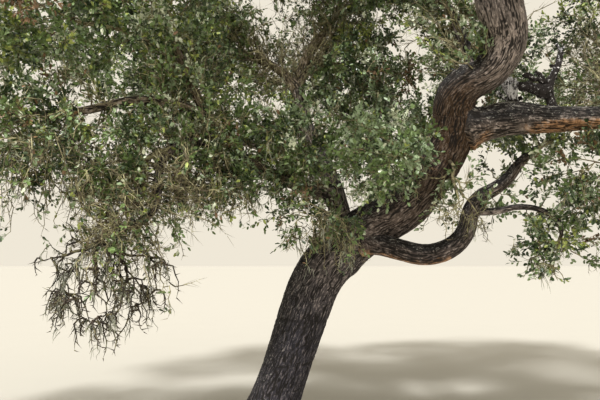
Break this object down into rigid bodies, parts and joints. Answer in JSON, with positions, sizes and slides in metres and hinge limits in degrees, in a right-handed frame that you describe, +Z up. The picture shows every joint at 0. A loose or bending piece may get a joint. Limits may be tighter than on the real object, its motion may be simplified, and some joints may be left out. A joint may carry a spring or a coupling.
{
  "type": "oak tree",
  "caption": "Whole evergreen oak: leaning, furrowed trunk, crooked leader, spreading and drooping boughs, and a full crown of leafy masses with lichen-hung twigs.",
  "frame": {"origin": "centre of the trunk's flat cut at ground level", "axes": "+Z up, +X the way that the trunk leans, -Y the side that the leader bends towards"},
  "size_m": [10.5055, 8.5333, 8.774],
  "materials": {
    "bark": "rough, furrowed grey-brown bark",
    "dead_wood": "bare wood bleached by the sun",
    "leaves": "small leathery leaves, half gloss, on grey-brown twigs",
    "lichen": "bare twigs hung with dry lichen"
  },
  "bodies": {
    "root": {"trunk": "bark", "leader_lower": "bark", "leader_upper": "bark", "right_bough": "bark", "right_bough_fork": "bark", "low_bough_inner": "bark", "low_bough_outer": "bark", "low_side_branch": "bark", "centre_stem": "bark", "centre_left_limb": "bark", "centre_right_limb": "bark", "left_bough": "bark", "left_low_bough": "bark", "left_drooping_limb": "bark", "far_left_bough": "bark", "leader_side_limb": "bark", "top_left_limb": "bark", "top_limb": "bark", "top_right_limb": "bark", "top_back_limb": "bark", "front_limb": "bark", "front_left_limb": "bark", "front_right_limb": "bark", "back_bough": "bark", "back_left_bough": "bark", "back_right_bough": "bark", "left_back_limb": "bark", "dead_stub": "dead_wood", "bleached_stub": "dead_wood", "foliage_left_low": "leaves", "foliage_far_left": "leaves", "foliage_left_inner": "leaves", "foliage_left_top": "leaves", "foliage_left_under": "leaves", "lichen_twigs": "lichen", "foliage_centre_left": "leaves", "foliage_centre": "leaves", "foliage_centre_front": "leaves", "foliage_under_leader": "leaves", "foliage_fork": "leaves", "foliage_upper_left": "leaves", "foliage_upper_centre": "leaves", "foliage_mid": "leaves", "foliage_behind_leader": "leaves", "foliage_right_hanging": "leaves", "foliage_right_far": "leaves", "foliage_right_back": "leaves", "foliage_low_tip": "leaves", "foliage_low_side": "leaves", "foliage_top_left": "leaves", "foliage_top": "leaves", "foliage_top_right": "leaves", "foliage_top_back": "leaves", "foliage_front": "leaves", "foliage_front_left": "leaves", "foliage_front_right": "leaves", "foliage_back": "leaves", "foliage_back_left": "leaves", "foliage_back_right": "leaves", "foliage_left_back": "leaves"}
  },
  "joints": []
}
